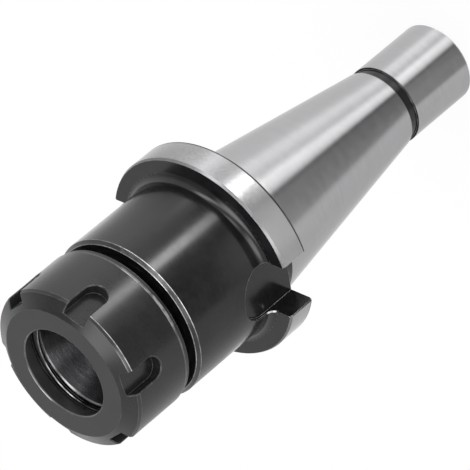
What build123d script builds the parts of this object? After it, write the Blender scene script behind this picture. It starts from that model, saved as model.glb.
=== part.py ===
from build123d import *
from math import cos, hypot, radians, sin, tan
import os

# A collet chuck holder with a steep-taper shank and a round clamping nut, in millimetres.
# The axis is Z and +Z points out of the nose, where the collet goes in. The origin is on the
# axis at the gauge plane, where the shank taper has its nominal diameter, and the two drive
# slots of the flange lie on X.

# Shank: a size 40 taper of 7 in 24, the tail pilot behind it and the groove between them
gauge_radius = 44.45 / 2
taper_slope = 7 / 48
taper_length = 65.4
shank_length = 93.4
pilot_radius = 12.5
groove_width = 3.4
groove_depth = 0.8
tail_chamfer = 1.0

# Drawbar hole in the tail: a plain counterbore, then the outer wall of an M16 thread
drawbar_thread_radius = 8.0
counterbore_radius = 8.5
counterbore_depth = 8.2
drawbar_hole_depth = 32.0
passage_radius = 5.5
hole_edge = 0.6
drill_half_angle = 59

# Flange with its two drive slots, which a round cutter runs out into the neck
flange_radius = 31.75
flange_rear = 2.5
flange_thickness = 9.5
flange_rear_chamfer = 0.6
flange_front_bevel_length = 0.8
flange_front_bevel_depth = 0.35
slot_width = 16.6
slot_floor = 22.8
slot_run_out = 11.0
slot_edge = 0.35

# Neck and the stepped nose that carries the nut's thread
neck_radius = 25.2
neck_fillet = 2.4
shoulder_height = 43.5
shoulder_chamfer = 1.0
nose_length = 17.7
thread_radius = 20.0
thread_relief_depth = 1.2
thread_relief_width = 3.6
nose_chamfer = 1.2

# Collet socket: a size 32 taper with a clearance bore behind it
mouth_radius = 16.5
mouth_edge = 0.4
socket_half_angle = 8
socket_length = 30.0
socket_bore_gap = 0.15
socket_bore_depth = 47.0

# Clamping nut, which stands off the shoulder by a gap
nut_radius = 25.0
nut_gap = 3.5
nut_rear_bevel_length = 1.9
nut_rear_bevel_depth = 0.45
nut_front_bevel_length = 0.9
nut_front_bevel_depth = 0.45
nut_cone_depth = 2.2
nut_cone_width = 4.15
nut_thread_clearance = 0.05
nut_thread_lead_in = 1.0

# Mouth of the nut: a 30 degree pressing cone, an undercut and the eccentric lip that pulls
# the collet out
nut_mouth_radius = 13.85
nut_mouth_edge = 0.3
nut_mouth_land = 0.1
press_cone_half_angle = 30
press_cone_depth = 5.5
undercut_depth = 0.6
undercut_width = 0.85
lip_radius = 16.0
lip_offset = 1.05
lip_direction = -48
lip_thickness = 1.0
lip_edge = 0.2
lip_gap = 1.05

# Wrench slots of the nut
wrench_slots = 6
wrench_slot_angle = 12
wrench_slot_width = 6.9
wrench_slot_floor = 21.75
wrench_slot_length = 12.85
wrench_slot_edge = 0.25

# How far a cutter reaches past the metal that it cuts, and how close counts as touching
overshoot = 2.0
touching = 0.01

tail_end = -shank_length
drawbar_hole_end = tail_end + drawbar_hole_depth
taper_end = -taper_length
taper_end_radius = gauge_radius - taper_slope * taper_length
pilot_end = taper_end - groove_width
groove_radius = taper_end_radius - groove_depth
flange_front = flange_rear + flange_thickness
slot_end_centre = flange_front + slot_run_out - slot_width / 2
thread_relief_radius = thread_radius - thread_relief_depth
nose_height = shoulder_height + nose_length
thread_start = shoulder_height + thread_relief_width
socket_end = nose_height - socket_length
socket_end_radius = mouth_radius - socket_length * tan(radians(socket_half_angle))
socket_bore_radius = socket_end_radius + socket_bore_gap
socket_bore_end = nose_height - socket_bore_depth
nut_rear = shoulder_height + nut_gap
nut_thread_radius = thread_radius + nut_thread_clearance
lip_rear = nose_height + lip_gap
lip_front = lip_rear + lip_thickness
press_cone_end = lip_front + undercut_width
press_cone_start = press_cone_end + press_cone_depth
press_cone_end_radius = nut_mouth_radius + press_cone_depth * tan(radians(press_cone_half_angle))
undercut_radius = press_cone_end_radius + undercut_depth
nut_height = press_cone_start + nut_mouth_land + nut_mouth_edge
lip_blank_radius = lip_radius - lip_offset - overshoot
wrench_end_centre = nut_height - wrench_slot_length + wrench_slot_width / 2


def radial_plane(angle, distance):
    """A plane that faces outward at an angle around Z, with its own y axis along +Z."""
    outward = Vector(cos(radians(angle)), sin(radians(angle)), 0)
    sideways = Vector(-sin(radians(angle)), cos(radians(angle)), 0)
    return Plane(origin=outward * distance, x_dir=sideways, z_dir=outward)


def slot_rim(part, plane, end_centre, half_width, end_side):
    """The edges where a slot cut from a plane, with one round end, breaks through the outside."""
    rim = ShapeList()
    for edge in part.edges():
        middle = plane.to_local_coords(edge @ 0.5)
        past_centre = max(0, end_side * (middle.Y - end_centre))
        on_outline = abs(hypot(middle.X, past_centre) - half_width) < touching
        on_wall_corner = abs((edge % 0.5).dot(plane.z_dir)) > 1 - touching
        if on_outline and middle.Z > touching and not on_wall_corner:
            rim.append(edge)
    return rim


def drill_tip(wide, narrow):
    """The length of a drill's cone from one radius down to another."""
    return (wide - narrow) / tan(radians(drill_half_angle))


# The holder is one turned and ground piece: shank, flange, neck and nose
with BuildPart() as holder_body:
    with BuildSketch(Plane.XZ):
        with BuildLine():
            shank = Polyline(
                (counterbore_radius + hole_edge, tail_end),
                (pilot_radius - tail_chamfer, tail_end),
                (pilot_radius, tail_end + tail_chamfer),
                (pilot_radius, pilot_end),
                (groove_radius, pilot_end),
                (groove_radius, taper_end),
                (taper_end_radius, taper_end),
                (gauge_radius, 0),
                (gauge_radius, flange_rear),
                (flange_radius - flange_rear_chamfer, flange_rear),
                (flange_radius, flange_rear + flange_rear_chamfer),
                (flange_radius, flange_front - flange_front_bevel_length),
                (flange_radius - flange_front_bevel_depth, flange_front),
                (neck_radius + neck_fillet, flange_front),
            )
            RadiusArc(shank @ 1, (neck_radius, flange_front + neck_fillet), -neck_fillet)
            Polyline(
                (neck_radius, flange_front + neck_fillet),
                (neck_radius, shoulder_height - shoulder_chamfer),
                (neck_radius - shoulder_chamfer, shoulder_height),
                (thread_relief_radius, shoulder_height),
                (thread_relief_radius, thread_start - thread_relief_depth),
                (thread_radius, thread_start),
                (thread_radius, nose_height - nose_chamfer),
                (thread_radius - nose_chamfer, nose_height),
                (mouth_radius + mouth_edge, nose_height),
                (mouth_radius, nose_height - mouth_edge),
                (socket_end_radius, socket_end),
                (socket_bore_radius, socket_end),
                (socket_bore_radius, socket_bore_end),
                (passage_radius, socket_bore_end - drill_tip(socket_bore_radius, passage_radius)),
                (passage_radius, drawbar_hole_end + drill_tip(drawbar_thread_radius, passage_radius)),
                (drawbar_thread_radius, drawbar_hole_end),
                (drawbar_thread_radius, tail_end + counterbore_depth),
                (counterbore_radius, tail_end + counterbore_depth),
                (counterbore_radius, tail_end + hole_edge),
                (counterbore_radius + hole_edge, tail_end),
            )
        make_face()
    revolve(axis=Axis.Z)
    for angle in (0, 180):
        floor_plane = radial_plane(angle, slot_floor)
        with BuildSketch(floor_plane):
            with Locations((0, slot_end_centre)):
                Circle(slot_width / 2)
                Rectangle(slot_width, slot_end_centre + overshoot, align=(Align.CENTER, Align.MAX))
        extrude(amount=flange_radius, mode=Mode.SUBTRACT)
        chamfer(slot_rim(holder_body, floor_plane, slot_end_centre, slot_width / 2, 1), slot_edge)
holder_body.part.label = "holder_body"

# The nut is one piece, turned and then slotted for the wrench
with BuildPart() as clamping_nut:
    with BuildSketch(Plane.XZ):
        with BuildLine():
            Polyline(
                (nut_thread_radius + nut_thread_lead_in, nut_rear),
                (nut_radius - nut_rear_bevel_depth, nut_rear),
                (nut_radius, nut_rear + nut_rear_bevel_length),
                (nut_radius, nut_height - nut_cone_depth - nut_front_bevel_length),
                (nut_radius - nut_front_bevel_depth, nut_height - nut_cone_depth),
                (nut_radius - nut_front_bevel_depth - nut_cone_width, nut_height),
                (nut_mouth_radius + nut_mouth_edge, nut_height),
                (nut_mouth_radius, nut_height - nut_mouth_edge),
                (nut_mouth_radius, press_cone_start),
                (press_cone_end_radius, press_cone_end),
                (undercut_radius, press_cone_end),
                (undercut_radius, lip_front),
                (lip_blank_radius, lip_front),
                (lip_blank_radius, lip_rear),
                (nut_thread_radius, lip_rear),
                (nut_thread_radius, nut_rear + nut_thread_lead_in),
                (nut_thread_radius + nut_thread_lead_in, nut_rear),
            )
        make_face()
    revolve(axis=Axis.Z)
    lip_centre = Vector(cos(radians(lip_direction)), sin(radians(lip_direction))) * lip_offset
    with BuildSketch(Plane.XY.offset(lip_rear)):
        with Locations(lip_centre):
            Circle(lip_radius)
    extrude(amount=lip_thickness, mode=Mode.SUBTRACT)
    lip_rim = clamping_nut.edges(Select.LAST).filter_by(GeomType.CIRCLE).group_by(Axis.Z)[-1]
    chamfer(lip_rim, lip_edge)
    for number in range(wrench_slots):
        floor_plane = radial_plane(wrench_slot_angle + number * 360 / wrench_slots, wrench_slot_floor)
        with BuildSketch(floor_plane):
            with Locations((0, wrench_end_centre)):
                Circle(wrench_slot_width / 2)
                Rectangle(wrench_slot_width, wrench_slot_length, align=(Align.CENTER, Align.MIN))
        extrude(amount=nut_radius, mode=Mode.SUBTRACT)
        rim = slot_rim(clamping_nut, floor_plane, wrench_end_centre, wrench_slot_width / 2, -1)
        chamfer(rim, wrench_slot_edge)
clamping_nut.part.label = "clamping_nut"

os.makedirs("parts", exist_ok=True)
export_step(holder_body.part, "parts/holder_body.step")
export_step(clamping_nut.part, "parts/clamping_nut.step")
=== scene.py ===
import bpy
import bmesh
import math
from mathutils import Matrix, Vector


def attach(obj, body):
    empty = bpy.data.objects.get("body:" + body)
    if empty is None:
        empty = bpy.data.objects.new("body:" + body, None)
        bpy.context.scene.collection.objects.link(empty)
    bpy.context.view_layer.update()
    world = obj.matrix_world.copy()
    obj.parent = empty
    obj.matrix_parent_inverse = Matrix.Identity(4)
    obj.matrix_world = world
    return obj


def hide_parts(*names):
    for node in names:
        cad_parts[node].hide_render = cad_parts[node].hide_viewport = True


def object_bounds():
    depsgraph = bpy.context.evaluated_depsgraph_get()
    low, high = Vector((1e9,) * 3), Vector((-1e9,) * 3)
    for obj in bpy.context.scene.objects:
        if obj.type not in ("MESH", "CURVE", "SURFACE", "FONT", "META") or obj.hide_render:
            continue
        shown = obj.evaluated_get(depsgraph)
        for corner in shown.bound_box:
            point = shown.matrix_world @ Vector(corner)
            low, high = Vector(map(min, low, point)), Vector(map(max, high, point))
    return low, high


# A collet chuck holder: a ground taper shank, a blackened flange and neck, a black clamping nut.
# Lengths in the dictionaries are in millimetres and angles in degrees. A bearing goes round +Z from +X.

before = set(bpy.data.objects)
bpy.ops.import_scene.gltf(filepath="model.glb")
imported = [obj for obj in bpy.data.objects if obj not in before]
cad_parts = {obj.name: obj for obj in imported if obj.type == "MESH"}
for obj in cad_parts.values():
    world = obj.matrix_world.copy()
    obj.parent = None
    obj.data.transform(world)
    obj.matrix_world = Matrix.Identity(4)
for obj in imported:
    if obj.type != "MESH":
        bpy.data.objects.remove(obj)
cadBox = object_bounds()
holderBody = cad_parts["holder_body"]
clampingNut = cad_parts["clamping_nut"]
mm = 0.001
print("frame loaded")


def linkObject(name, data):
    made = bpy.data.objects.new(name, data)
    bpy.context.scene.collection.objects.link(made)
    return made


# The camera of the photograph, with its long roll

cameraValues = {
    "azimuth": 137.0,
    "elevation": 33.92,
    "roll": 129.934,
    "distance": 1342.185,
    "target": (1.128, -0.311, -0.799),
    "lens": 372.7,
    "sensorWidth": 36,
    "clipStart": 50,
    "clipEnd": 20000,
}


def makeCamera(values):
    azimuth = math.radians(values["azimuth"])
    elevation = math.radians(values["elevation"])
    back = Vector((math.sin(azimuth) * math.cos(elevation),
                   -math.cos(azimuth) * math.cos(elevation),
                   math.sin(elevation)))
    right = Vector((0, 0, 1)).cross(back).normalized()
    upright = Matrix((right, back.cross(right), back)).transposed()
    rolled = upright @ Matrix.Rotation(-math.radians(values["roll"]), 3, "Z")
    data = bpy.data.cameras.new("camera")
    data.sensor_width = values["sensorWidth"]
    data.lens = values["lens"]
    data.clip_start = values["clipStart"] * mm
    data.clip_end = values["clipEnd"] * mm
    camera = linkObject("camera", data)
    place = (Vector(values["target"]) + back * values["distance"]) * mm
    camera.matrix_world = Matrix.Translation(place) @ rolled.to_4x4()
    bpy.context.scene.camera = camera


makeCamera(cameraValues)
print("camera placed")


# Small helpers for node trees

noiseValues = {
    "detail": 2.0,
    "roughness": 0.6,
}

bumpDistance = 0.02


def newMaterial(name):
    material = bpy.data.materials.new(name)
    material.use_nodes = True
    material.node_tree.nodes.clear()
    return material, material.node_tree


def addNode(tree, kind, **settings):
    node = tree.nodes.new(kind)
    for name, value in settings.items():
        setattr(node, name, value)
    return node


def feed(tree, source, socket):
    if hasattr(source, "is_output"):
        tree.links.new(source, socket)
    else:
        socket.default_value = source


def maths(tree, operation, first, second=0.0):
    node = addNode(tree, "ShaderNodeMath", operation=operation)
    feed(tree, first, node.inputs[0])
    feed(tree, second, node.inputs[1])
    return node.outputs[0]


def vectorMaths(tree, operation, first, second=(0, 0, 0)):
    node = addNode(tree, "ShaderNodeVectorMath", operation=operation)
    feed(tree, first, node.inputs[0])
    feed(tree, second, node.inputs[1])
    isNumber = operation in ("LENGTH", "DISTANCE", "DOT_PRODUCT")
    return node.outputs["Value" if isNumber else "Vector"]


def mapRange(tree, value, low, high, toLow=0.0, toHigh=1.0):
    node = addNode(tree, "ShaderNodeMapRange", interpolation_type="SMOOTHSTEP")
    feed(tree, value, node.inputs["Value"])
    node.inputs["From Min"].default_value = low
    node.inputs["From Max"].default_value = high
    node.inputs["To Min"].default_value = toLow
    node.inputs["To Max"].default_value = toHigh
    return node.outputs["Result"]


def between(tree, value, low, high, blur):
    # One between two limits and nothing outside them
    start = mapRange(tree, value, low - blur, low)
    stop = mapRange(tree, value, high, high + blur, 1.0, 0.0)
    return maths(tree, "MULTIPLY", start, stop)


def betweenLengths(tree, value, limits, blur):
    return between(tree, value, limits[0] * mm, limits[1] * mm, blur * mm)


def blendColours(tree, share, first, second):
    node = addNode(tree, "ShaderNodeMix", data_type="RGBA")
    feed(tree, share, node.inputs["Factor"])
    feed(tree, first, node.inputs["A"])
    feed(tree, second, node.inputs["B"])
    return node.outputs["Result"]


def objectPoint(tree):
    return addNode(tree, "ShaderNodeTexCoord").outputs["Object"]


def flatPart(tree, vector):
    return vectorMaths(tree, "MULTIPLY", vector, (1, 1, 0))


def positionParts(tree):
    # The distance from the axis, the height along it and the bearing round it
    point = objectPoint(tree)
    parts = addNode(tree, "ShaderNodeSeparateXYZ")
    tree.links.new(point, parts.inputs[0])
    radius = vectorMaths(tree, "LENGTH", flatPart(tree, point))
    bearing = maths(tree, "ARCTAN2", parts.outputs["Y"], parts.outputs["X"])
    return radius, parts.outputs["Z"], bearing


def turnParts(tree, vector, backBearing):
    # How far round +Z a vector points, from nothing to one with the seam at the back, and its height
    rotate = addNode(tree, "ShaderNodeVectorRotate", rotation_type="Z_AXIS")
    rotate.inputs["Angle"].default_value = math.radians(180 - backBearing)
    tree.links.new(vector, rotate.inputs["Vector"])
    parts = addNode(tree, "ShaderNodeSeparateXYZ")
    tree.links.new(rotate.outputs[0], parts.inputs[0])
    bearing = maths(tree, "ARCTAN2", parts.outputs["Y"], parts.outputs["X"])
    share = maths(tree, "ADD", maths(tree, "DIVIDE", bearing, 2 * math.pi), 0.5)
    return share, parts.outputs["Z"]


def grain(tree, across, along):
    # Noise whose spots are this many millimetres wide in the turning plane and along the axis
    mapping = addNode(tree, "ShaderNodeMapping")
    tree.links.new(objectPoint(tree), mapping.inputs["Vector"])
    mapping.inputs["Scale"].default_value = (1 / (across * mm), 1 / (across * mm), 1 / (along * mm))
    noise = addNode(tree, "ShaderNodeTexNoise")
    noise.inputs["Scale"].default_value = 1.0
    noise.inputs["Detail"].default_value = noiseValues["detail"]
    noise.inputs["Roughness"].default_value = noiseValues["roughness"]
    tree.links.new(mapping.outputs["Vector"], noise.inputs["Vector"])
    return noise.outputs["Fac"]


def bumped(tree, height, strength, normal=None):
    bump = addNode(tree, "ShaderNodeBump")
    bump.inputs["Strength"].default_value = strength
    bump.inputs["Distance"].default_value = bumpDistance * mm
    tree.links.new(height, bump.inputs["Height"])
    if normal is not None:
        tree.links.new(normal, bump.inputs["Normal"])
    return bump.outputs["Normal"]


def roughnessEnds(values):
    half = values["roughnessSpread"] / 2
    return values["roughness"] - half, values["roughness"] + half


# How the black coat is rubbed bright, and where painted highlights lie along its edges. The ranges are
# those of mapRange, from noise to strength.

wearAndHighlightValues = {
    "lineCore": 0.3,
    "lineFade": 5,
    "unevenSize": 2.2,
    "unevenness": (0.36, 0.56, 0.5, 1.0),
    "streakAcross": 2.6,
    "streakAlong": 0.8,
    "streaks": (0.35, 0.60, 0.4, 1.0),
    "markBlur": 0.05,
    "markEndBlur": 0.1,
    "markTurnBlur": 3,
    "edgeSamples": 8,
    "edgeMatch": (0.999, 0.97),
    "patches": (0.36, 0.6, 0.35, 1.0),
    "wornRoughness": 0.12,
}

everywhere = (-180, 180)
allRound = (0, 400, 1.0)


def ringWearAndHighlight(tree, rings):
    # Bright lines along circles round the axis, partly rubbed coat and partly painted highlight, each
    # strongest near the bearing where the painted highlight falls
    radius, height, bearing = positionParts(tree)
    place = addNode(tree, "ShaderNodeCombineXYZ")
    tree.links.new(radius, place.inputs["X"])
    tree.links.new(height, place.inputs["Y"])
    wornAndHighlight = 0.0
    for ring in rings:
        circle = (ring["radius"] * mm, ring["height"] * mm, 0)
        away = vectorMaths(tree, "DISTANCE", place.outputs[0], circle)
        width = ring["width"] * mm
        line = mapRange(tree, away, width * wearAndHighlightValues["lineCore"], width, ring["strength"], 0.0)
        middle, spread, rest = ring["near"]
        turn = maths(tree, "ABSOLUTE", maths(tree, "SUBTRACT", bearing, math.radians(middle)))
        fadeStart = math.radians(spread - wearAndHighlightValues["lineFade"])
        fadeEnd = math.radians(spread + wearAndHighlightValues["lineFade"])
        fade = mapRange(tree, turn, fadeStart, fadeEnd, 1.0, rest)
        wornAndHighlight = maths(tree, "MAXIMUM", wornAndHighlight, maths(tree, "MULTIPLY", line, fade))
    return wornAndHighlight


def markWearAndHighlight(tree, marks):
    # Rubbed places and painted highlights, each in a window of radius, bearing and height
    radius, height, bearing = positionParts(tree)
    noise = grain(tree, wearAndHighlightValues["streakAcross"], wearAndHighlightValues["streakAlong"])
    streaks = mapRange(tree, noise, *wearAndHighlightValues["streaks"])
    blur = math.radians(wearAndHighlightValues["markTurnBlur"])
    wornAndHighlight = 0.0
    for radii, bearings, heights, strength in marks:
        inRadii = betweenLengths(tree, radius, radii, wearAndHighlightValues["markBlur"])
        inHeights = betweenLengths(tree, height, heights, wearAndHighlightValues["markEndBlur"])
        mark = maths(tree, "MULTIPLY", inRadii, inHeights)
        if bearings != everywhere:
            start, stop = [math.radians(angle) for angle in bearings]
            mark = maths(tree, "MULTIPLY", mark, between(tree, bearing, start, stop, blur))
        wornAndHighlight = maths(tree, "MAXIMUM", wornAndHighlight, maths(tree, "MULTIPLY", mark, strength))
    return maths(tree, "MULTIPLY", wornAndHighlight, streaks)


def edgeWearAndHighlight(tree, values):
    # Where the rounded normal leaves the flat one there is an edge, and the coat has rubbed off it; the
    # bright line there is also a painted highlight for the rounded edge
    rounded = addNode(tree, "ShaderNodeBevel", samples=wearAndHighlightValues["edgeSamples"])
    rounded.inputs["Radius"].default_value = values["edgeWidth"] * mm
    surface = addNode(tree, "ShaderNodeNewGeometry")
    match = vectorMaths(tree, "DOT_PRODUCT", rounded.outputs["Normal"], surface.outputs["Normal"])
    onEdge = mapRange(tree, match, *wearAndHighlightValues["edgeMatch"], 0.0, values["edgeStrength"])
    noise = grain(tree, values["wearPatch"], values["wearPatch"])
    wearAndHighlight = maths(tree, "MULTIPLY", onEdge, mapRange(tree, noise, *wearAndHighlightValues["patches"]))
    if values["smooth"]:
        kept = maths(tree, "SUBTRACT", 1.0, ringWearAndHighlight(tree, values["smooth"]))
        wearAndHighlight = maths(tree, "MULTIPLY", wearAndHighlight, kept)
    return wearAndHighlight, rounded.outputs["Normal"]


def filletNormal(tree, centreRadius, centreHeight):
    # The exact normal of a hollow ring-shaped fillet points to the centre of its section
    point = objectPoint(tree)
    outward = vectorMaths(tree, "NORMALIZE", flatPart(tree, point))
    reach = vectorMaths(tree, "MULTIPLY", outward, [centreRadius * mm] * 3)
    centre = vectorMaths(tree, "ADD", reach, (0, 0, centreHeight * mm))
    turned = addNode(tree, "ShaderNodeVectorTransform", vector_type="NORMAL",
                     convert_from="OBJECT", convert_to="WORLD")
    tree.links.new(vectorMaths(tree, "SUBTRACT", centre, point), turned.inputs[0])
    return turned.outputs[0]


# Ground steel: bright, with fine grinding lines round the axis. The four kinds share steelValues.

steelValues = {
    "cloudSize": 9.0,
    "cloudShare": 0.5,
    "toneRange": (0.5, 1.0),
    "roughRange": (0.3, 0.7),
    "black": (0.008, 0.008, 0.009),
    "blackBlur": 0.03,
    "lineTurn": 0.25,
}

groundValues = {
    "name": "groundSteel",
    "light": (0.458, 0.455, 0.466),
    "dark": (0.424, 0.422, 0.430),
    "roughness": 0.20,
    "roughnessSpread": 0.04,
    "anisotropy": 0.95,
    "lineAcross": 7.0,
    "lineAlong": 0.3,
    "lineDepth": 0.06,
    "blackBelow": None,
}

rimValues = {
    "name": "groundRim",
    "light": (0.455, 0.455, 0.462),
    "dark": (0.38, 0.38, 0.387),
    "roughness": 0.23,
    "roughnessSpread": 0.04,
    "anisotropy": 0.1,
    "lineAcross": 0.55,
    "lineAlong": 0.3,
    "lineDepth": 0.05,
    "blackBelow": 3.45,
}

# The socket is the same ground steel with darker colours, as painted shade inside the bore
socketPaintedShadeValues = {
    "name": "groundSocketPaintedShade",
    "light": (0.31, 0.31, 0.32),
    "dark": (0.24, 0.24, 0.25),
    "roughness": 0.25,
    "roughnessSpread": 0.03,
    "anisotropy": 1.0,
    "lineAcross": 4.0,
    "lineAlong": 0.5,
    "lineDepth": 0.01,
    "blackBelow": None,
}

edgeValues = {
    "name": "dulledEdge",
    "light": (0.24, 0.24, 0.245),
    "dark": (0.18, 0.18, 0.185),
    "roughness": 0.36,
    "roughnessSpread": 0.08,
    "anisotropy": 0.5,
    "lineAcross": 1.5,
    "lineAlong": 0.35,
    "lineDepth": 0.08,
    "blackBelow": None,
}


def groundSteel(values):
    shared = steelValues
    material, tree = newMaterial(values["name"])
    output = addNode(tree, "ShaderNodeOutputMaterial")
    shader = addNode(tree, "ShaderNodeBsdfPrincipled")
    lines = grain(tree, values["lineAcross"], values["lineAlong"])
    clouds = grain(tree, shared["cloudSize"], shared["cloudSize"])
    mottle = maths(tree, "ADD", lines, maths(tree, "MULTIPLY", clouds, shared["cloudShare"]))
    tone = mapRange(tree, mottle, *shared["toneRange"])
    colour = blendColours(tree, tone, (*values["dark"], 1), (*values["light"], 1))
    rough = mapRange(tree, lines, *shared["roughRange"], *roughnessEnds(values))
    metallic = 1.0
    if values["blackBelow"] is not None:
        radius, height, bearing = positionParts(tree)
        line = values["blackBelow"] * mm
        blur = shared["blackBlur"] * mm
        metallic = mapRange(tree, height, line - blur, line + blur)
        colour = blendColours(tree, metallic, (*shared["black"], 1), colour)
    tangent = addNode(tree, "ShaderNodeTangent", direction_type="RADIAL", axis="Z")
    shader.inputs["Anisotropic"].default_value = values["anisotropy"]
    shader.inputs["Anisotropic Rotation"].default_value = shared["lineTurn"]
    feed(tree, metallic, shader.inputs["Metallic"])
    tree.links.new(colour, shader.inputs["Base Color"])
    tree.links.new(rough, shader.inputs["Roughness"])
    tree.links.new(bumped(tree, lines, values["lineDepth"]), shader.inputs["Normal"])
    tree.links.new(tangent.outputs["Tangent"], shader.inputs["Tangent"])
    tree.links.new(shader.outputs["BSDF"], output.inputs["Surface"])
    return material


# Black oxide: satin, a little mottled, rubbed bright along its edges, with painted highlights on some
# edges. The four kinds share oxideValues.
# A ring is a rubbed circle with a painted highlight, a smooth ring is one where no edge shows, and a
# mark, a rubbed place with a painted highlight, gives its radii, bearings, heights and strength.

oxideValues = {
    "cloudSize": 6.0,
    "toneRange": (0.8, 1.2),
    "roughRange": (0.75, 1.25),
    "mouthBlur": 0.05,
}

neckValues = {
    "name": "blackOxideTurned",
    "light": (0.010, 0.010, 0.011),
    "dark": (0.006, 0.006, 0.007),
    "wornAndHighlight": (0.52, 0.52, 0.525),
    "roughness": 0.18,
    "roughnessSpread": 0.05,
    "ior": 1.45,
    "edgeWidth": 0.16,
    "edgeStrength": 0.8,
    "wearPatch": 3.0,
    "grainAcross": 2.2,
    "grainAlong": 0.5,
    "grainDepth": 0.08,
    # The rings and the marks on the shoulder chamfer are rubbed coat and painted highlight, brightest at
    # the bearings where the highlight falls
    "rings": [
        {"radius": 25.2, "height": 42.55, "width": 0.20, "strength": 1.0, "near": (52, 38, 0.35)},
        {"radius": 24.2, "height": 43.5, "width": 0.22, "strength": 1.0, "near": (45, 60, 0.35)},
    ],
    "smooth": [
        {"radius": 27.6, "height": 12.0, "width": 0.45, "strength": 1.0, "near": allRound},
        {"radius": 25.2, "height": 14.4, "width": 0.45, "strength": 1.0, "near": allRound},
    ],
    "marks": [
        ((24.1, 25.3), everywhere, (42.7, 43.35), 0.04),
        ((24.1, 25.3), (20, 85), (42.7, 43.35), 0.16),
    ],
    "mouth": None,
    "fillet": None,
}

filletValues = dict(neckValues, name="blackOxideFillet", rings=[], marks=[], fillet=(27.6, 14.4))

# The nut's rear bevel: its rings and marks are rubbed coat and painted highlights, kept to the bearings
# where the highlights fall
bevelValues = dict(neckValues, name="blackOxideBevel", roughness=0.4, smooth=[], rings=[
    {"radius": 24.97, "height": 48.8, "width": 0.22, "strength": 1.0, "near": (64, 12, 0.1)},
    {"radius": 24.97, "height": 48.8, "width": 0.24, "strength": 1.0, "near": (35, 11, 0.1)},
], marks=[
    ((24.4, 25.1), (27, 47), (47.9, 48.75), 0.75),
    ((24.4, 25.1), (52, 74), (48.1, 48.7), 0.45),
    ((24.4, 25.1), (8, 26), (48.2, 48.7), 0.25),
    ((24.4, 25.1), (-20, 105), (48.35, 48.5), 0.4),
])

nutValues = {
    "name": "blackOxideNut",
    "light": (0.016, 0.016, 0.017),
    "dark": (0.013, 0.013, 0.014),
    "wornAndHighlight": (0.52, 0.52, 0.525),
    "roughness": 0.24,
    "roughnessSpread": 0.05,
    "ior": 1.45,
    "edgeWidth": 0.16,
    "edgeStrength": 0.25,
    "wearPatch": 3.0,
    "grainAcross": 0.7,
    "grainAlong": 0.7,
    "grainDepth": 0.16,
    # The rings on the nut's front bevel and mouth edge are rubbed coat and painted highlight, strongest
    # at the bearings where the highlight falls
    "rings": [
        {"radius": 25.0, "height": 66.9, "width": 0.16, "strength": 0.9, "near": (43, 26, 0.12)},
        {"radius": 24.55, "height": 67.8, "width": 0.20, "strength": 0.4, "near": (29, 8, 0.0)},
        {"radius": 14.15, "height": 70.0, "width": 0.18, "strength": 0.8, "near": (-142, 24, 0.0)},
    ],
    "smooth": [],
    "marks": [
        ((14.0, 16.6), everywhere, (63.0, 63.4), 0.9),
        ((14.0, 16.6), everywhere, (62.1, 62.4), 0.7),
    ],
    "mouth": {"radii": (13.5, 17.2), "heights": (64.0, 69.9), "share": 0.16},
    "fillet": None,
}


def mouthShare(tree, mouth):
    # The coat in the nut's mouth is lighter
    radius, height, bearing = positionParts(tree)
    inRadii = betweenLengths(tree, radius, mouth["radii"], oxideValues["mouthBlur"])
    inHeights = betweenLengths(tree, height, mouth["heights"], oxideValues["mouthBlur"])
    return maths(tree, "MULTIPLY", maths(tree, "MULTIPLY", inRadii, inHeights), mouth["share"])


def blackOxide(values):
    shared = oxideValues
    material, tree = newMaterial(values["name"])
    output = addNode(tree, "ShaderNodeOutputMaterial")
    shader = addNode(tree, "ShaderNodeBsdfPrincipled")
    fine = grain(tree, values["grainAcross"], values["grainAlong"])
    clouds = grain(tree, shared["cloudSize"], shared["cloudSize"])
    mottle = maths(tree, "ADD", fine, clouds)
    wearAndHighlight, roundedNormal = edgeWearAndHighlight(tree, values)
    noise = grain(tree, wearAndHighlightValues["unevenSize"], wearAndHighlightValues["unevenSize"])
    uneven = mapRange(tree, noise, *wearAndHighlightValues["unevenness"])
    rings = maths(tree, "MULTIPLY", ringWearAndHighlight(tree, values["rings"]), uneven)
    wearAndHighlight = maths(tree, "MAXIMUM", wearAndHighlight, rings)
    wearAndHighlight = maths(tree, "MAXIMUM", wearAndHighlight, markWearAndHighlight(tree, values["marks"]))
    tone = mapRange(tree, mottle, *shared["toneRange"])
    coat = blendColours(tree, tone, (*values["dark"], 1), (*values["light"], 1))
    if values["mouth"]:
        coat = blendColours(tree, mouthShare(tree, values["mouth"]), coat, (*values["wornAndHighlight"], 1))
    # Rubbed coat and painted highlights turn the coat to bright steel here
    colour = blendColours(tree, wearAndHighlight, coat, (*values["wornAndHighlight"], 1))
    rough = mapRange(tree, mottle, *shared["roughRange"], *roughnessEnds(values))
    rougher = maths(tree, "MULTIPLY", wearAndHighlight, wearAndHighlightValues["wornRoughness"])
    normal = filletNormal(tree, *values["fillet"]) if values["fillet"] else roundedNormal
    shader.inputs["IOR"].default_value = values["ior"]
    tree.links.new(colour, shader.inputs["Base Color"])
    tree.links.new(wearAndHighlight, shader.inputs["Metallic"])
    tree.links.new(maths(tree, "ADD", rough, rougher), shader.inputs["Roughness"])
    tree.links.new(bumped(tree, fine, values["grainDepth"], normal), shader.inputs["Normal"])
    tree.links.new(shader.outputs["BSDF"], output.inputs["Surface"])
    return material


# The holder with a hollow fillet at the root of its neck. The node has a bead there, so a merged copy
# of its mesh stands for it, with the bead turned inside out between the same two circles.
# Where a drive slot cuts the bead, its rounded edge runs from the wall at wallAt to squareUntil.

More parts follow.
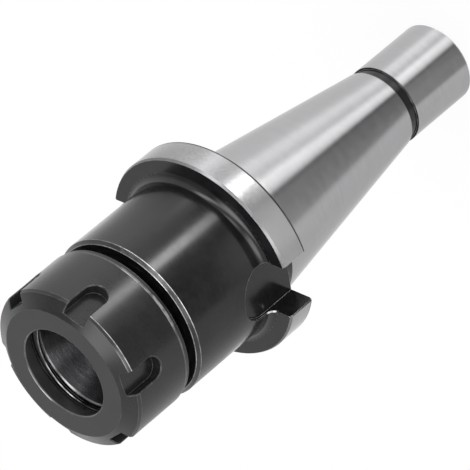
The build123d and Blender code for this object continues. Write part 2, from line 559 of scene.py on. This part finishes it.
rootValues = {
    "neckRadius": 25.2,
    "flangeFace": 12.0,
    "fillet": 2.4,
    "innerReach": 0.4,
    "wallAt": 8.3,
    "wallEdge": 0.35,
    "wallTurn": 99.3,
    "edgeTaper": 0.15,
    "squareUntil": 8.65,
    "roundFrom": 16.0,
    "slack": 0.02,
    "mergeWithin": 0.001,
    "wallFacing": 0.999,
    "upFacing": 0.02,
    "sameFacing": 0.9,
}


def placeKey(point):
    return tuple(round(part / mm, 2) for part in point)


def sourceNormals(mesh):
    # The corner normals of the node, listed by place and by the way their face looks
    found = {}
    for face in mesh.polygons:
        for corner in face.loop_indices:
            key = placeKey(mesh.vertices[mesh.loops[corner].vertex_index].co)
            normal = mesh.corner_normals[corner].vector.copy()
            found.setdefault(key, []).append((face.normal.copy(), normal))
    return found


def rootPoint(point, values):
    # Where a corner of the bead goes, or nothing for a corner elsewhere
    x, y, z = point / mm
    fillet = values["fillet"]
    slack = values["slack"]
    radius = math.hypot(x, y)
    out = radius - values["neckRadius"]
    up = z - values["flangeFace"]
    reach = math.hypot(out, up)
    if not (-values["innerReach"] < out < fillet + slack and -slack < up < fillet + slack):
        return None
    if abs(abs(y) - values["wallAt"]) < slack and reach < fillet - slack:
        share = math.degrees(math.atan2(up, out)) / values["wallTurn"]
        turn = math.radians(90 * (1 - share))
        reach = fillet + values["wallEdge"] * min(1, share / values["edgeTaper"])
        newRadius = values["neckRadius"] + fillet - reach * math.cos(turn)
        newHeight = values["flangeFace"] + fillet - reach * math.sin(turn)
        newSide = y
    elif abs(reach - fillet) < slack / 2:
        newRadius = values["neckRadius"] + fillet - up
        newHeight = values["flangeFace"] + fillet - out
        share = (abs(y) - values["squareUntil"]) / (values["roundFrom"] - values["squareUntil"])
        share = min(1, max(0, share))
        newSide = y * (1 - share + share * newRadius / radius)
    else:
        return None
    across = math.sqrt(max(newRadius ** 2 - newSide ** 2, 0))
    return Vector((math.copysign(across, x), newSide, newHeight)) * mm


def rootNormal(point, values):
    x, y, z = point / mm
    radius = math.hypot(x, y)
    inward = values["neckRadius"] + values["fillet"] - radius
    upward = values["flangeFace"] + values["fillet"] - z
    return Vector((x / radius * inward, y / radius * inward, upward)).normalized()


def isWall(face, values):
    onWall = all(abs(abs(vert.co.y / mm) - values["wallAt"]) < values["slack"] for vert in face.verts)
    return onWall and abs(face.normal.y) > values["wallFacing"]


def makeMesh(name, shape):
    mesh = bpy.data.meshes.new(name)
    shape.to_mesh(mesh)
    shape.free()
    return mesh


def makeHolder(values):
    known = sourceNormals(holderBody.data)
    shape = bmesh.new()
    shape.from_mesh(holderBody.data)
    bmesh.ops.remove_doubles(shape, verts=shape.verts, dist=values["mergeWithin"] * mm)
    walls = [face for face in shape.faces if isWall(face, values)]
    bmesh.ops.dissolve_faces(shape, faces=walls)
    targets = {vert: rootPoint(vert.co, values) for vert in shape.verts}
    normals = []
    curved = []
    for face in shape.faces:
        face.normal_update()
        moves = all(targets[vert] is not None for vert in face.verts)
        isRoot = moves and face.normal.z > values["upFacing"]
        for corner in face.loops:
            choices = known.get(placeKey(corner.vert.co), [(face.normal, face.normal)])
            best = max(choices, key=lambda choice: choice[0].dot(face.normal))
            normals.append(best[1])
            curved.append(isRoot)
    for vert, target in targets.items():
        if target is not None:
            vert.co = target
    number = 0
    for face in shape.faces:
        face.normal_update()
        for corner in face.loops:
            if curved[number]:
                hollow = rootNormal(corner.vert.co, values)
                isClose = hollow.dot(face.normal) > values["sameFacing"]
                normals[number] = hollow if isClose else face.normal.copy()
            number += 1
    mesh = makeMesh("turned_holder", shape)
    mesh.normals_split_custom_set(normals)
    holder = linkObject("turned_holder", mesh)
    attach(holder, "holder")
    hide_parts("holder_body")
    return holder


turnedHolder = makeHolder(rootValues)
print("holder made")


# Which finish each face of the holder and of the nut takes, by the distance of its middle from the axis,
# its height, and how much it looks outward and upward

zones = {
    "leastRadius": 0.001,
    "outwardLeast": 0.5,
    "pilotRear": -92.38,
    "pilotFront": -68.8,
    "taperStart": -65.4,
    "taperEnd": 0,
    "rimRadius": 31.4,
    "rimOutward": 0.97,
    "rimMiddle": 7.0,
    "filletRadii": (25.0, 27.598),
    "filletHeights": (12.002, 14.398),
    "filletUpward": 0.02,
    "slotEdgeTurned": 0.93,
    "socketRear": 14.2,
    "socketRadius": 19.0,
    "holeRadius": 8.4,
    "rearBevelEnd": 48.85,
    "rearBevelRadius": 24.5,
}


def within(value, limits):
    return limits[0] < value < limits[1]


def holderZone(radius, height, outward, upward):
    z = zones
    isOutward = outward > z["outwardLeast"]
    inFillet = within(radius, z["filletRadii"]) and within(height, z["filletHeights"])
    if height < z["pilotRear"]:
        return "ground" if radius > z["holeRadius"] else "black"
    if isOutward and radius > z["rimRadius"]:
        if outward > z["rimOutward"]:
            return "rim"
        return "edge" if height > z["rimMiddle"] else "black"
    if inFillet and upward > z["filletUpward"]:
        # The edge that a drive slot cuts into the fillet looks to the side, and is rubbed bright
        return "ground" if math.hypot(outward, upward) < z["slotEdgeTurned"] else "fillet"
    if isOutward:
        isGround = height < z["pilotFront"] or z["taperStart"] < height < z["taperEnd"]
        return "ground" if isGround else "black"
    inSocket = height > z["socketRear"] and radius < z["socketRadius"]
    return "socket" if inSocket else "black"


def nutZone(radius, height, outward, upward):
    isRear = height < zones["rearBevelEnd"] and radius > zones["rearBevelRadius"]
    return "bevel" if isRear and outward > zones["outwardLeast"] else "black"


def paint(node, zoneOf, finishes):
    mesh = node.data
    mesh.materials.clear()
    for material in finishes.values():
        mesh.materials.append(material)
    order = list(finishes)
    for face in mesh.polygons:
        centre = face.center / mm
        radius = max(math.hypot(centre.x, centre.y), zones["leastRadius"])
        outward = (face.normal.x * centre.x + face.normal.y * centre.y) / radius
        face.material_index = order.index(zoneOf(radius, centre.z, outward, face.normal.z))


neckBlack = blackOxide(neckValues)
paint(turnedHolder, holderZone, {
    "ground": groundSteel(groundValues),
    "rim": groundSteel(rimValues),
    "socket": groundSteel(socketPaintedShadeValues),
    "edge": groundSteel(edgeValues),
    "fillet": blackOxide(filletValues),
    "black": neckBlack,
})
paint(clampingNut, nutZone, {"black": blackOxide(nutValues), "bevel": blackOxide(bevelValues)})
print("finishes made")


# The thread in the drawbar hole: a ridge that winds up the plain wall

threadValues = {
    "outerRadius": 8.03,
    "coreRadius": 6.92,
    "pitch": 2.0,
    "crestWidth": 0.5,
    "rootWidth": 1.75,
    "start": -84.2,
    "turns": 10.5,
    "stepsPerTurn": 48,
    "mergeWithin": 0.0001,
    "sharpFrom": 25,
}


def middle(part):
    corners = getattr(part, "verts", [part])
    return tuple(sum((corner.co for corner in corners), Vector()) / len(corners))


def settleOrder(shape):
    # A spin lists its parts in another order each time, so they are numbered by place
    for parts in (shape.verts, shape.edges, shape.faces):
        for number, part in enumerate(sorted(parts, key=middle)):
            part.index = number
        parts.sort()


def makeThread(values):
    shape = bmesh.new()
    crest = values["crestWidth"] / 2
    root = values["rootWidth"] / 2
    outer = values["outerRadius"]
    core = values["coreRadius"]
    start = values["start"]
    corners = [(outer, start - root), (core, start - crest),
               (core, start + crest), (outer, start + root)]
    verts = [shape.verts.new((r * mm, 0, z * mm)) for r, z in corners]
    profile = shape.faces.new(verts)
    steps = int(values["turns"] * values["stepsPerTurn"])
    rise = values["pitch"] / values["stepsPerTurn"] * mm
    bmesh.ops.spin(shape, geom=[profile, *profile.edges, *verts], cent=(0, 0, 0), axis=(0, 0, 1),
                   dvec=(0, 0, rise), angle=math.radians(360 * values["turns"]), steps=steps)
    bmesh.ops.remove_doubles(shape, verts=shape.verts, dist=values["mergeWithin"] * mm)
    bmesh.ops.recalc_face_normals(shape, faces=shape.faces)
    settleOrder(shape)
    mesh = makeMesh("drawbar_thread", shape)
    mesh.shade_smooth()
    thread = linkObject("drawbar_thread", mesh)
    mesh.set_sharp_from_angle(angle=math.radians(values["sharpFrom"]))
    mesh.materials.append(neckBlack)
    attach(thread, "holder")


makeThread(threadValues)
print("thread made")


# Floor and light

def makeTurned(name, points, steps):
    shape = bmesh.new()
    verts = [shape.verts.new((r * mm, 0, z * mm)) for r, z in points]
    edges = [shape.edges.new(pair) for pair in zip(verts, verts[1:])]
    bmesh.ops.spin(shape, geom=[*verts, *edges], cent=(0, 0, 0), axis=(0, 0, 1),
                   angle=2 * math.pi, steps=steps, use_merge=True)
    bmesh.ops.recalc_face_normals(shape, faces=shape.faces)
    turned = linkObject(name, makeMesh(name, shape))
    return turned


floorHeight = cadBox[0].z / mm

floorValues = {
    "colour": (0.85, 0.85, 0.85),
    "hole": 0.5,
    "radius": 4000,
    "drop": 0.02,
    "steps": 64,
    "whiteShare": 0.93,
}


def makeFloor(values):
    # The camera sees it almost white, with a trace of the holder's shadow
    material, tree = newMaterial("floorWhite")
    output = addNode(tree, "ShaderNodeOutputMaterial")
    diffuse = addNode(tree, "ShaderNodeBsdfDiffuse")
    diffuse.inputs["Color"].default_value = (*values["colour"], 1)
    glow = addNode(tree, "ShaderNodeEmission")
    path = addNode(tree, "ShaderNodeLightPath")
    share = maths(tree, "MULTIPLY", path.outputs["Is Camera Ray"], values["whiteShare"])
    mix = addNode(tree, "ShaderNodeMixShader")
    tree.links.new(share, mix.inputs["Fac"])
    tree.links.new(diffuse.outputs["BSDF"], mix.inputs[1])
    tree.links.new(glow.outputs["Emission"], mix.inputs[2])
    tree.links.new(mix.outputs["Shader"], output.inputs["Surface"])
    height = floorHeight - values["drop"]
    floor = makeTurned("floor", [(values["hole"], height), (values["radius"], height)], values["steps"])
    floor.visible_glossy = False
    floor.data.materials.append(material)


makeFloor(floorValues)

# What the steel reflects from below the horizon. A well round the shank and a disc further out
# glow by their bearing round the holder, and only reflections see them. Each list gives bearings and
# brightnesses: for the pilot and the taper on the well, for the rim, the neck and beyond on the disc.

cardValues = {
    "hole": 1,
    "wellRadius": 170,
    "wellDepth": 360,
    "outer": 640,
    "height": 0.3,
    "steps": 180,
    "backBearing": 241,
    "brightest": 11.0,
    "pilotAbove": -193,
    "taperBelow": -214,
    "rimStart": (170.5, 171.0),
    "neckStart": (186.5, 197),
    "outerStart": (275, 320),
    "pilot": [
        (-119, 1.1), (-113, 1.05), (-107, 0.95), (-95, 0.76), (-83, 0.76), (-59, 0.77), (-29, 0.8),
        (-17, 0.86), (-9, 0.8), (-5, 0.44), (20, 0.42), (43, 0.43), (47.5, 0.3), (51, 0.3), (55, 0.9),
        (61, 1.4), (67, 1.8), (73, 2.0), (80, 1.8), (84, 1.2), (91, 1.13), (103, 1.45), (115, 1.65),
        (120, 1.35), (125, 1.07), (145, 0.98), (169, 0.93), (193, 0.9), (205, 1.0), (217, 1.1),
    ],
    "taper": [
        (-119, 1.05), (-113, 0.92), (-107, 0.8), (-95, 0.68), (-83, 0.71), (-59, 0.79), (-29, 0.82),
        (-17, 0.85), (-10, 0.74), (-6, 0.3), (20, 0.22), (43, 0.21), (49, 0.14), (53.5, 0.15),
        (57, 0.65), (61, 1.2), (67, 1.55), (73, 1.75), (80, 1.55), (84, 1.0), (91, 1.02), (103, 1.42),
        (115, 1.62), (120, 1.3), (125, 1.07), (145, 0.98), (169, 0.98), (193, 0.95), (205, 1.0),
        (217, 1.1),
    ],
    "rim": [
        (-119, 1.2), (-107, 1.1), (-87, 0.73), (-27, 0.6), (-12, 0.65), (-5, 1.15), (13, 2.35),
        (33, 2.3), (45, 1.6), (53, 0.6), (59, 0.45), (66, 0.3), (73, 0.1), (79, 0.02), (85, 0.02),
        (93, 0.05), (103, 0.9), (113, 2.3), (122, 0.9), (133, 0.5), (153, 0.45), (173, 0.42),
        (193, 0.7), (213, 1.35),
    ],
    "neck": [
        (-119, 1.0), (-113, 0.75), (-107, 0.7), (-83, 0.74), (-47, 0.72), (-11, 0.9), (-5, 0.5),
        (1, 0.3), (20, 0.24), (43, 0.27), (55, 0.42), (63, 0.75), (68, 2.0), (71.5, 11.0),
        (79.5, 11.0), (83, 2.5), (89, 1.2), (103, 1.2), (115, 1.38), (127, 1.55), (145, 1.2),
        (163, 1.0), (181, 1.12), (195, 1.27), (211, 1.2),
    ],
    "outerRing": [
        (-119, 0.24), (-90, 0.35), (-75, 0.6), (-15, 1.1), (0, 0.7), (15, 0.4), (30, 0.4), (45, 0.7),
        (60, 2.2), (75, 1.2), (90, 0.9), (105, 2.4), (120, 1.2), (135, 0.6), (150, 0.4), (180, 0.5),
        (205, 0.8), (214, 0.5), (219, 0.2), (223, 0.04), (234, 0.04),
    ],
}


def bearingRamp(tree, turn, stops, values):
    ramp = addNode(tree, "ShaderNodeValToRGB")
    elements = ramp.color_ramp.elements
    elements.remove(elements[-1])
    for number, (bearing, brightness) in enumerate(stops):
        place = (bearing - values["backBearing"] + 360) / 360
        element = elements[0] if number == 0 else elements.new(place)
        element.position = place
        element.color = (*[brightness / values["brightest"]] * 3, 1)
    tree.links.new(turn, ramp.inputs["Fac"])
    return ramp.outputs["Color"]


def cardGlow(values):
    material, tree = newMaterial("cardGlow")
    output = addNode(tree, "ShaderNodeOutputMaterial")
    glow = addNode(tree, "ShaderNodeEmission")
    point = objectPoint(tree)
    turn, height = turnParts(tree, point, values["backBearing"])
    away = vectorMaths(tree, "LENGTH", flatPart(tree, point))
    deeper = mapRange(tree, height, values["pilotAbove"] * mm, values["taperBelow"] * mm)
    pilot = bearingRamp(tree, turn, values["pilot"], values)
    taper = bearingRamp(tree, turn, values["taper"], values)
    colour = blendColours(tree, deeper, pilot, taper)
    for part, border in (("rim", "rimStart"), ("neck", "neckStart"), ("outerRing", "outerStart")):
        start, stop = values[border]
        isPast = mapRange(tree, away, start * mm, stop * mm)
        colour = blendColours(tree, isPast, colour, bearingRamp(tree, turn, values[part], values))
    tree.links.new(colour, glow.inputs["Color"])
    glow.inputs["Strength"].default_value = values["brightest"]
    tree.links.new(glow.outputs["Emission"], output.inputs["Surface"])
    return material


def makeCard(values):
    top = floorHeight + values["height"]
    bottom = floorHeight - values["wellDepth"]
    well = values["wellRadius"]
    points = [(values["hole"], bottom), (well, bottom), (well, top), (values["outer"], top)]
    card = makeTurned("reflectedCard", points, values["steps"])
    card.visible_camera = False
    card.visible_diffuse = False
    card.visible_shadow = False
    card.visible_transmission = False
    card.visible_volume_scatter = False
    card.data.materials.append(cardGlow(values))


makeCard(cardValues)


# The room is even and white. Reflections see it by bearing, in a low and a high belt, with soft lamps
# made of round spots: elevation, bearing, radius and brightness

roomValues = {
    "plain": 1.0,
    "backBearing": 241,
    "brightest": 1.5,
    "lowEnd": 24,
    "highStart": 50,
    "low": [
        (-119, 0.95), (-100, 0.9), (-30, 1.2), (-14, 1.15), (-4, 1.0), (40, 1.1), (112, 0.9),
        (124, 1.0), (200, 1.1), (216, 1.0), (234, 0.98),
    ],
    "high": [
        (-119, 0.65), (-100, 0.8), (-20, 0.95), (0, 0.7), (112, 0.45), (205, 0.35), (234, 0.5),
    ],
    "spotCore": 0.35,
    "spots": [
        (88, 70, 18, 4.0), (74, 70, 19, 5.3), (60, 70, 17, 4.9), (47, 75, 15, 4.2), (34, 81, 14, 3.3),
        (22, 92, 14, 4.9), (7, 101, 15, 5.6), (-8, 104, 13, 4.4), (37, 13, 21, 3.6), (23, 15, 21, 4.6),
        (8, 20, 19, 3.7), (-6, 58, 14, 3.8), (8, 53, 15, 2.4),
    ],
}


def towards(elevation, bearing):
    flat = math.cos(math.radians(elevation))
    x = flat * math.cos(math.radians(bearing))
    y = flat * math.sin(math.radians(bearing))
    return x, y, math.sin(math.radians(elevation))


def makeRoom(values):
    world = bpy.data.worlds.new("studio")
    bpy.context.scene.world = world
    world.use_nodes = True
    tree = world.node_tree
    tree.nodes.clear()
    output = addNode(tree, "ShaderNodeOutputWorld")
    direction = addNode(tree, "ShaderNodeTexCoord").outputs["Generated"]
    turn, rise = turnParts(tree, direction, values["backBearing"])
    elevation = maths(tree, "ARCSINE", rise)
    lowEnd = math.radians(values["lowEnd"])
    highStart = math.radians(values["highStart"])
    isHigh = mapRange(tree, elevation, lowEnd, highStart)
    low = bearingRamp(tree, turn, values["low"], values)
    high = bearingRamp(tree, turn, values["high"], values)
    level = maths(tree, "MULTIPLY", blendColours(tree, isHigh, low, high), values["brightest"])
    for spotElevation, spotBearing, radius, brightness in values["spots"]:
        facing = vectorMaths(tree, "DOT_PRODUCT", direction, towards(spotElevation, spotBearing))
        rim = math.cos(math.radians(radius))
        full = math.cos(math.radians(radius * values["spotCore"]))
        level = maths(tree, "MAXIMUM", level, mapRange(tree, facing, rim, full, 0.0, brightness))
    path = addNode(tree, "ShaderNodeLightPath")
    plain = addNode(tree, "ShaderNodeBackground")
    plain.inputs["Strength"].default_value = values["plain"]
    mirrored = addNode(tree, "ShaderNodeBackground")
    tree.links.new(level, mirrored.inputs["Strength"])
    for background in (plain, mirrored):
        background.inputs["Color"].default_value = (1, 1, 1, 1)
    mix = addNode(tree, "ShaderNodeMixShader")
    tree.links.new(path.outputs["Is Glossy Ray"], mix.inputs["Fac"])
    tree.links.new(plain.outputs[0], mix.inputs[1])
    tree.links.new(mirrored.outputs[0], mix.inputs[2])
    tree.links.new(mix.outputs[0], output.inputs["Surface"])


makeRoom(roomValues)

lampValues = {
    "size": 500,
    "watts": 2.6,
    "height": 900,
}


def makeLamp(values):
    data = bpy.data.lights.new("topLamp", "AREA")
    data.size = values["size"] * mm
    data.energy = values["watts"]
    lamp = linkObject("topLamp", data)
    lamp.location = (0, 0, values["height"] * mm)
    lamp.visible_glossy = False


makeLamp(lampValues)
bpy.context.scene.view_settings.view_transform = "Standard"
print("floor and light made")
